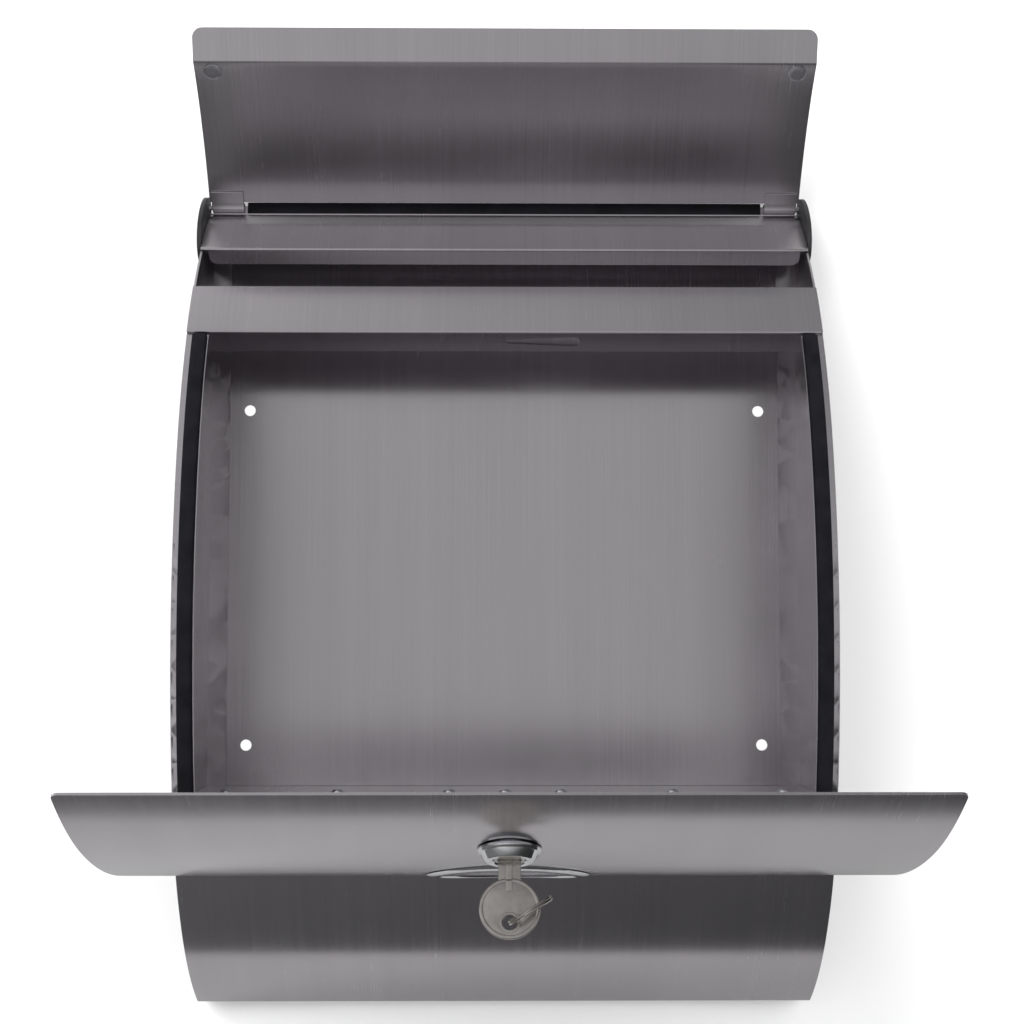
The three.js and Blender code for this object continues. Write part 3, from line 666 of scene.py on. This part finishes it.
def build_bezel():
    """Raised rim of the sight window: a rounded ring that follows the curve of the door."""
    outer, inner = WINDOW_OUTER, WINDOW_INNER
    seat = -(DOOR_GAP + SHEET + 0.3 * MM)
    angle = angle_at(WINDOW_Z)
    section = [
        (inner, 0.0), (inner + 0.35 * MM, 0.75), (inner + 1.4 * MM, 1.0),
        (outer - 2 * MM, 0.92), (outer - 0.6 * MM, 0.5), (outer, 0.0),
    ]
    bm = bmesh.new()
    rings = []
    count = 128
    for radius, lift in section:
        ring = []
        for i in range(count):
            turn = 2 * math.pi * i / count
            spot = arch(angle + radius * math.sin(turn) / MID_RADIUS, seat - WINDOW_CREST * lift)
            ring.append(bm.verts.new((radius * math.cos(turn), -spot.x, spot.y)))
        rings.append(ring)
    for low, high in zip(rings, rings[1:] + rings[:1]):
        for i in range(count):
            j = (i + 1) % count
            bm.faces.new((low[i], low[j], high[j], high[i]))
    bmesh.ops.transform(bm, matrix=opened("door_hinge"), verts=bm.verts)
    return finish_mesh("window_rim", bm, 50)


# ---------- lock, key and ring ----------
def lock_frame():
    """X to the right, Z out of the lock, as the frame's lock joint says."""
    joint = joints["lock_turn"]
    out = Vector(joint["axis"]).normalized()
    right = Vector((1, 0, 0))
    up = out.cross(right)
    basis = Matrix((right, up, out)).transposed().to_4x4()
    return Matrix.Translation(Vector(joint["pos_m"])) @ basis


LOCK = lock_frame()
LOCK_FACE = 7 * MM
PLUG_RADIUS = 5.6 * MM


def rear_of(node):
    """The lowest point of a node along the lock's own axis."""
    inverse = LOCK.inverted()
    return min((inverse @ v.co).z for v in nodes[node].data.vertices)


def build_lock_housing():
    seat = 2.6 * MM
    bezel, body_radius, bore_radius = 11.5 * MM, 9 * MM, PLUG_RADIUS + 0.3 * MM
    rear = rear_of("lock_housing")
    profile = [
        (bore_radius, rear), (body_radius, rear), (body_radius, seat), (bezel, seat),
        (bezel, seat + 0.7 * MM), (bezel - 0.25 * MM, seat + 1.15 * MM), (bezel - 0.7 * MM, seat + 1.5 * MM),
        (bezel - 1.2 * MM, seat + 1.65 * MM), (bezel - 2.7 * MM, LOCK_FACE - 0.35 * MM),
        (bezel - 3.0 * MM, LOCK_FACE - 0.1 * MM), (bezel - 3.4 * MM, LOCK_FACE),
        (PLUG_RADIUS + 1.1 * MM, LOCK_FACE), (PLUG_RADIUS + 0.7 * MM, LOCK_FACE - 0.15 * MM),
        (bore_radius, LOCK_FACE - 0.7 * MM),
    ]
    return finish_mesh("lock_housing_fine", lathe(profile, 96, LOCK), 28)


BOW_RADIUS = 10.75 * MM
BOW_CENTRE = 23.6 * MM
KEY_HOLE = 28.5 * MM
KEY_HALF = 4 * MM


def circle(centre_y, radius, count=64):
    return [(radius * math.cos(2 * math.pi * i / count), centre_y + radius * math.sin(2 * math.pi * i / count))
            for i in range(count)]


def key():
    meet = math.acos(KEY_HALF / BOW_RADIUS)
    tip = -9 * MM
    outline = [(0, tip), (KEY_HALF, tip + 2 * MM)]
    for i in range(5):
        y = tip + 3 * MM + i * 2.3 * MM
        notch = (0.9 + 0.5 * (i % 2)) * MM
        outline += [(KEY_HALF, y), (KEY_HALF - notch, y + 0.7 * MM), (KEY_HALF, y + 1.4 * MM)]
    neck = 0.55 * MM
    bottom = BOW_CENTRE - BOW_RADIUS * math.sin(meet)
    outline += [(KEY_HALF, bottom - neck)]
    steps = 80
    for i in range(steps + 1):
        a = -meet + (math.pi + 2 * meet) * i / steps
        outline.append((BOW_RADIUS * math.cos(a), BOW_CENTRE + BOW_RADIUS * math.sin(a)))
    outline += [(-KEY_HALF, bottom - neck), (-KEY_HALF, tip + 2 * MM)]
    stand = Matrix((
        (1, 0, 0, 0),
        (0, 0, -1, 0),
        (0, 1, 0, 0),
        (0, 0, 0, 1),
    ))
    place = LOCK @ stand
    hole = circle(KEY_HOLE, 2.6 * MM, 40)
    body = plate([outline, hole], 1.15 * MM, 0.2 * MM, place)
    edge = [circle(BOW_CENTRE, BOW_RADIUS), circle(BOW_CENTRE, BOW_RADIUS - 1.5 * MM)]
    rim = plate(edge, 1.6 * MM, 0.45 * MM, place)
    eye = plate([circle(KEY_HOLE, 3.7 * MM, 40), hole], 1.5 * MM, 0.3 * MM, place)
    spine = plate([[(-1.5 * MM, tip + 3 * MM), (1.0 * MM, tip + 3 * MM), (1.0 * MM, BOW_CENTRE - 6 * MM),
                    (-1.5 * MM, BOW_CENTRE - 6 * MM)]], 1.6 * MM, 0.3 * MM, place)
    return finish_mesh("key_fine", merge(body, rim, eye, spine), 40)


def split_ring():
    """Two turns of flat-ended wire pressed together, threaded through the bow."""
    lean, tilt = math.radians(59), math.radians(11)
    radius, wire = 8.4 * MM, 0.46 * MM
    direction = Vector((math.sin(lean), 0, -math.cos(lean)))
    upright = Matrix.Rotation(tilt, 3, direction) @ Vector((0, 1, 0))
    axis = direction.cross(upright)
    centre = Vector((0, 0, KEY_HOLE)) + direction * radius
    curve = bpy.data.curves.new("split_ring", "CURVE")
    curve.dimensions = "3D"
    curve.bevel_depth = wire
    curve.bevel_resolution = 5
    curve.use_fill_caps = True
    spline = curve.splines.new("POLY")
    per_turn, gap = 72, math.radians(10)
    total = 2 * per_turn
    spline.points.add(total)
    for i in range(total + 1):
        turn = (4 * math.pi - gap) * i / total
        half = (turn - 2 * math.pi + gap / 2) / math.radians(28)
        shift = wire * math.tanh(half)
        round_ring = direction * math.cos(turn + 2.2) + upright * math.sin(turn + 2.2)
        spot = centre + round_ring * radius + axis * shift
        spline.points[i].co = (*(LOCK @ spot), 1)
    holder = bpy.data.objects.new("split_ring", curve)
    bpy.context.scene.collection.objects.link(holder)
    mesh = bpy.data.meshes.new_from_object(holder.evaluated_get(bpy.context.evaluated_depsgraph_get()))
    bpy.data.objects.remove(holder)
    bpy.data.curves.remove(curve)
    mesh.shade_smooth()
    mesh.set_sharp_from_angle(angle=math.radians(40))
    piece = bpy.data.objects.new("key_ring_fine", mesh)
    bpy.context.scene.collection.objects.link(piece)
    return piece


# ---------- seals, rivets and bumpers ----------
def build_gasket(side):
    """A foam strip with a rounded crown along the folded edge of a side plate."""
    low, high = SHELF_Z + 1.5 * MM, DOOR_TOP - 0.6 * MM
    path = arch_path(low, high, SHEET)
    crown = [
        (0.0, 0.0), (0.0, 0.55), (0.1, 0.86), (0.28, 1.0), (0.5, 0.97),
        (0.72, 1.0), (0.9, 0.86), (1.0, 0.55), (1.0, 0.0),
    ]
    near, far, thick = 142.6 * MM, 149.6 * MM, 1.9 * MM
    normals = path_normals(path)
    bm = bmesh.new()
    rows = []
    for point, normal in zip(path, normals):
        row = []
        for across, lift in crown:
            spot = point + normal * thick * lift
            row.append(bm.verts.new((side * (near + (far - near) * across), -spot.x, spot.y)))
        rows.append(row)
    grid_faces(bm, rows)
    grid_faces(bm, [[row[0] for row in rows], [row[-1] for row in rows]])
    for row in (rows[0], rows[-1]):
        bm.faces.new(row)
    return finish_mesh(f"gasket_{'right' if side > 0 else 'left'}_fine", bm, 60)


def dome(node, head_radius, head_height):
    """A domed rivet head over the frame's shank, standing where the node does."""
    low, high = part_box(node)
    centre = (low + high) / 2
    steps = 10
    profile = [(0, 0)] + [
        (head_radius * math.cos(i / steps * math.pi / 2) if i < steps else 0,
         0.18 * MM + head_height * math.sin(i / steps * math.pi / 2)) for i in range(steps + 1)
    ]
    profile.insert(1, (head_radius * 0.98, 0.0))
    place = Matrix.Translation(Vector((centre.x, centre.y, high.z - head_height - 0.18 * MM)))
    shank_low = low.z - high.z + head_height + 0.18 * MM
    shank = [(0, shank_low), (1.45 * MM, shank_low), (1.45 * MM, 0.0), (0, 0.0)]
    tail = [(0, shank_low), (2.2 * MM, shank_low), (2.45 * MM, shank_low + 0.3 * MM),
            (2.3 * MM, shank_low + 0.85 * MM), (0, shank_low + 0.9 * MM)]
    bm = merge(lathe(profile, 32, place), lathe(shank, 24, place), lathe(tail, 24, place))
    return finish_mesh(node + "_fine", bm, 40)


# ---------- put the pieces on their bodies ----------
use(build_upper_rail(), "body", "stainless", STEEL, "upper_rail")
use(build_lower_rail(), "body", "stainless", STEEL, "lower_rail")
use(build_tube(), "body", "stainless", STEEL, "newspaper_holder")
use(build_flap(), "flap", "stainless", STEEL, "flap")
use(build_door(), "door", "stainless", STEEL, "door")
use(build_bezel(), "door", "chrome", CHROME, "window_bezel")
use(build_lock_housing(), "door", "chrome", CHROME, "lock_housing")
use(key(), "key", "nickel", NICKEL, "key")
use(split_ring(), "key_ring", "nickel", NICKEL, "key_ring")
for side, name in ((-1, "left"), (1, "right")):
    use(build_gasket(side), "body", "rubber", RUBBER, f"door_gasket_{name}")
for i in range(1, 8):
    node = f"shelf_rivet_{i}"
    use(dome(node, 2.9 * MM, 1.7 * MM), "body", "rivet_aluminium", RIVET, node)
for node, slot, material, width in (
    ("back_panel", "stainless", STEEL, 0.2), ("shelf", "stainless", STEEL, 0.2),
    ("side_plate_left", "stainless", STEEL_SIDE, 0), ("side_plate_right", "stainless", STEEL_SIDE, 0),
    ("hinge_cheek_left", "black_plastic", PLASTIC, 0.45), ("hinge_cheek_right", "black_plastic", PLASTIC, 0.45),
    ("cheek_rivet_left", "rivet_aluminium", RIVET, 0), ("cheek_rivet_right", "rivet_aluminium", RIVET, 0),
    ("flap_pin_left", "zinc_steel", ZINC, 0), ("flap_pin_right", "zinc_steel", ZINC, 0),
    # The top seal is a black strip set in the gap under the flap, where there is deep shade: painted shade.
    ("door_hinge_rod", "zinc_steel", ZINC, 0.2), ("top_seal", "rubber", RUBBER, 0.5),
):
    use(refined(node, width * MM), "body", slot, material, node)
for node, body, slot, material, width in (
    ("flap_knuckle_left", "flap", "stainless", STEEL, 0.15),
    ("flap_knuckle_right", "flap", "stainless", STEEL, 0.15),
    ("flap_bumper_left", "flap", "clear_plastic", CLEAR, 0.3),
    ("flap_bumper_right", "flap", "clear_plastic", CLEAR, 0.3),
    ("window_pane", "door", "window_plastic", PANE, 0.1),
    ("window_retainer", "door", "black_plastic", PLASTIC, 0.15),
    ("lock_nut", "door", "zinc_steel", ZINC, 0.4),
    ("cam", "lock_core", "zinc_steel", ZINC, 0.25), ("cam_screw", "lock_core", "zinc_steel", ZINC, 0.2),
    ("lock_plug", "lock_core", "nickel", NICKEL, 0.2),
):
    use(refined(node, width * MM), body, slot, material, node)


# ---------- stage, light and camera ----------
def matt_mix(material, color, reflected_shade_factor):
    """Pale matt surface with painted shade in reflections: glossy rays see a darker copy of its colour, as a
    surface outside the light would look.
    """
    tree = material.node_tree
    tree.nodes.clear()
    out = tree.nodes.new("ShaderNodeOutputMaterial")
    pale = tree.nodes.new("ShaderNodeBsdfDiffuse")
    pale.inputs["Color"].default_value = (*color, 1)
    # painted shade: the darker copy of the colour that glossy rays see
    painted_shade = tree.nodes.new("ShaderNodeBsdfDiffuse")
    painted_shade.inputs["Color"].default_value = (*(c * reflected_shade_factor for c in color), 1)
    path = tree.nodes.new("ShaderNodeLightPath")
    mix = tree.nodes.new("ShaderNodeMixShader")
    tree.links.new(path.outputs["Is Glossy Ray"], mix.inputs["Fac"])
    tree.links.new(pale.outputs["BSDF"], mix.inputs[1])
    tree.links.new(painted_shade.outputs["BSDF"], mix.inputs[2])
    return tree, mix, out


def stage_plane(name, verts, faces, color, reflected_shade_factor, see_through_back):
    mesh = bpy.data.meshes.new(name)
    mesh.from_pydata(verts, [], faces)
    piece = bpy.data.objects.new(name, mesh)
    bpy.context.scene.collection.objects.link(piece)
    material = bpy.data.materials.new(name)
    material.use_nodes = True
    tree, mix, out = matt_mix(material, color, reflected_shade_factor)
    result = mix.outputs["Shader"]
    if see_through_back:
        geometry = tree.nodes.new("ShaderNodeNewGeometry")
        empty = tree.nodes.new("ShaderNodeBsdfTransparent")
        side = tree.nodes.new("ShaderNodeMixShader")
        tree.links.new(geometry.outputs["Backfacing"], side.inputs["Fac"])
        tree.links.new(result, side.inputs[1])
        tree.links.new(empty.outputs["BSDF"], side.inputs[2])
        result = side.outputs["Shader"]
    tree.links.new(result, out.inputs["Surface"])
    mesh.materials.append(material)
    return piece


def wall():
    """A white board behind the box, open where the back panel covers it."""
    low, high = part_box("back_panel")
    margin = 3 * MM
    inner = (low.x + margin, high.x - margin, low.z + margin, high.z - margin)
    outer = (-0.8, 0.8, -0.515, 0.85)
    y = 0.6 * MM
    corners = [(x, y, z) for box in (outer, inner) for x, z in
               ((box[0], box[2]), (box[1], box[2]), (box[1], box[3]), (box[0], box[3]))]
    faces = [(i, (i + 1) % 4, 4 + (i + 1) % 4, 4 + i) for i in range(4)]
    # in reflections the wall shows painted shade, at 0.44 of its brightness
    return stage_plane("wall", corners, faces, (0.9, 0.9, 0.9), 0.44, True)


def floor():
    size, z = 4.0, -1.25
    corners = [(-size, -size, z), (size, -size, z), (size, size, z), (-size, size, z)]
    board = stage_plane("floor", corners, [(0, 1, 2, 3)], (0.82, 0.82, 0.81), 0.2, False)
    board.visible_glossy = False
    return board


def world():
    """White to the eye; what the metal mirrors is a studio whose brightness depends on height and side."""
    scene_world = bpy.data.worlds.new("studio")
    scene_world.use_nodes = True
    bpy.context.scene.world = scene_world
    tree = scene_world.node_tree
    tree.nodes.clear()
    out = tree.nodes.new("ShaderNodeOutputWorld")
    seen = tree.nodes.new("ShaderNodeBackground")
    seen.inputs["Color"].default_value = (1, 1, 1, 1)
    mirrored = tree.nodes.new("ShaderNodeBackground")
    coordinates = tree.nodes.new("ShaderNodeTexCoord")
    split = tree.nodes.new("ShaderNodeSeparateXYZ")
    tree.links.new(coordinates.outputs["Generated"], split.inputs["Vector"])

    def math_node(operation, a, b=None):
        node = tree.nodes.new("ShaderNodeMath")
        node.operation = operation
        for socket, value in zip(node.inputs, (a, b)):
            if isinstance(value, (int, float)):
                socket.default_value = value
            elif value is not None:
                tree.links.new(value, socket)
        return node.outputs["Value"]

    forward = math_node("MULTIPLY", split.outputs["Y"], -1)
    elevation = math_node("ARCTAN2", split.outputs["Z"], forward)
    turn = math_node("ADD", math_node("DIVIDE", elevation, 2 * math.pi), 0.5)
    ramp = tree.nodes.new("ShaderNodeValToRGB")
    tree.links.new(turn, ramp.inputs["Fac"])
    stops = (
        (-180, 0.40), (-140, 0.40), (-118, 0.09), (-95, 0.09), (-62, 0.11), (-45, 0.2), (-33, 0.48), (-21, 0.5),
        (-10, 0.50), (10, 0.50), (35, 0.45), (60, 0.42), (88, 0.46), (102, 0.95), (140, 1.0), (180, 0.55),
    )
    elements = ramp.color_ramp.elements
    while len(elements) < len(stops):
        elements.new(0.5)
    for element, (degrees, level) in zip(elements, stops):
        element.position = degrees / 360 + 0.5
        element.color = (level, level, level * 1.01, 1)
    side = tree.nodes.new("ShaderNodeMapRange")
    sideways = math_node("MULTIPLY", split.outputs["X"], math_node("ABSOLUTE", split.outputs["Z"]))
    tree.links.new(sideways, side.inputs["Value"])
    side.inputs["From Min"].default_value = -0.35
    side.inputs["From Max"].default_value = 0.35
    side.inputs["To Min"].default_value = 1.7
    side.inputs["To Max"].default_value = 0.35
    tree.links.new(ramp.outputs["Color"], mirrored.inputs["Color"])
    tree.links.new(side.outputs["Result"], mirrored.inputs["Strength"])
    path = tree.nodes.new("ShaderNodeLightPath")
    mix = tree.nodes.new("ShaderNodeMixShader")
    tree.links.new(path.outputs["Is Camera Ray"], mix.inputs["Fac"])
    tree.links.new(mirrored.outputs["Background"], mix.inputs[1])
    tree.links.new(seen.outputs["Background"], mix.inputs[2])
    tree.links.new(mix.outputs["Shader"], out.inputs["Surface"])


def soft_light(name, place, target, size, power):
    light = bpy.data.lights.new(name, "AREA")
    light.shape = "DISK"
    light.size = size
    light.energy = power
    lamp = bpy.data.objects.new(name, light)
    bpy.context.scene.collection.objects.link(lamp)
    lamp.location = place
    lamp.rotation_euler = (Vector(target) - Vector(place)).to_track_quat("-Z", "Y").to_euler()
    lamp.visible_glossy = False
    lamp.visible_camera = False


def camera():
    data = bpy.data.cameras.new("camera")
    data.sensor_width = 36
    data.lens = 64.2
    eye = bpy.data.objects.new("camera", data)
    bpy.context.scene.collection.objects.link(eye)
    eye.location = (-0.0062, -0.94235, -0.0382)
    eye.rotation_euler = (math.radians(95.1), 0, math.radians(-0.62))
    bpy.context.scene.camera = eye


camera()
wall()
floor()
world()
soft_light("key_light", (-0.9, -1.5, 0.9), (0, 0, 0), 1.4, 34)
soft_light("fill_light", (1.1, -1.4, 0.5), (0, 0, 0), 1.6, 22)
bpy.context.scene.view_settings.view_transform = "Standard"
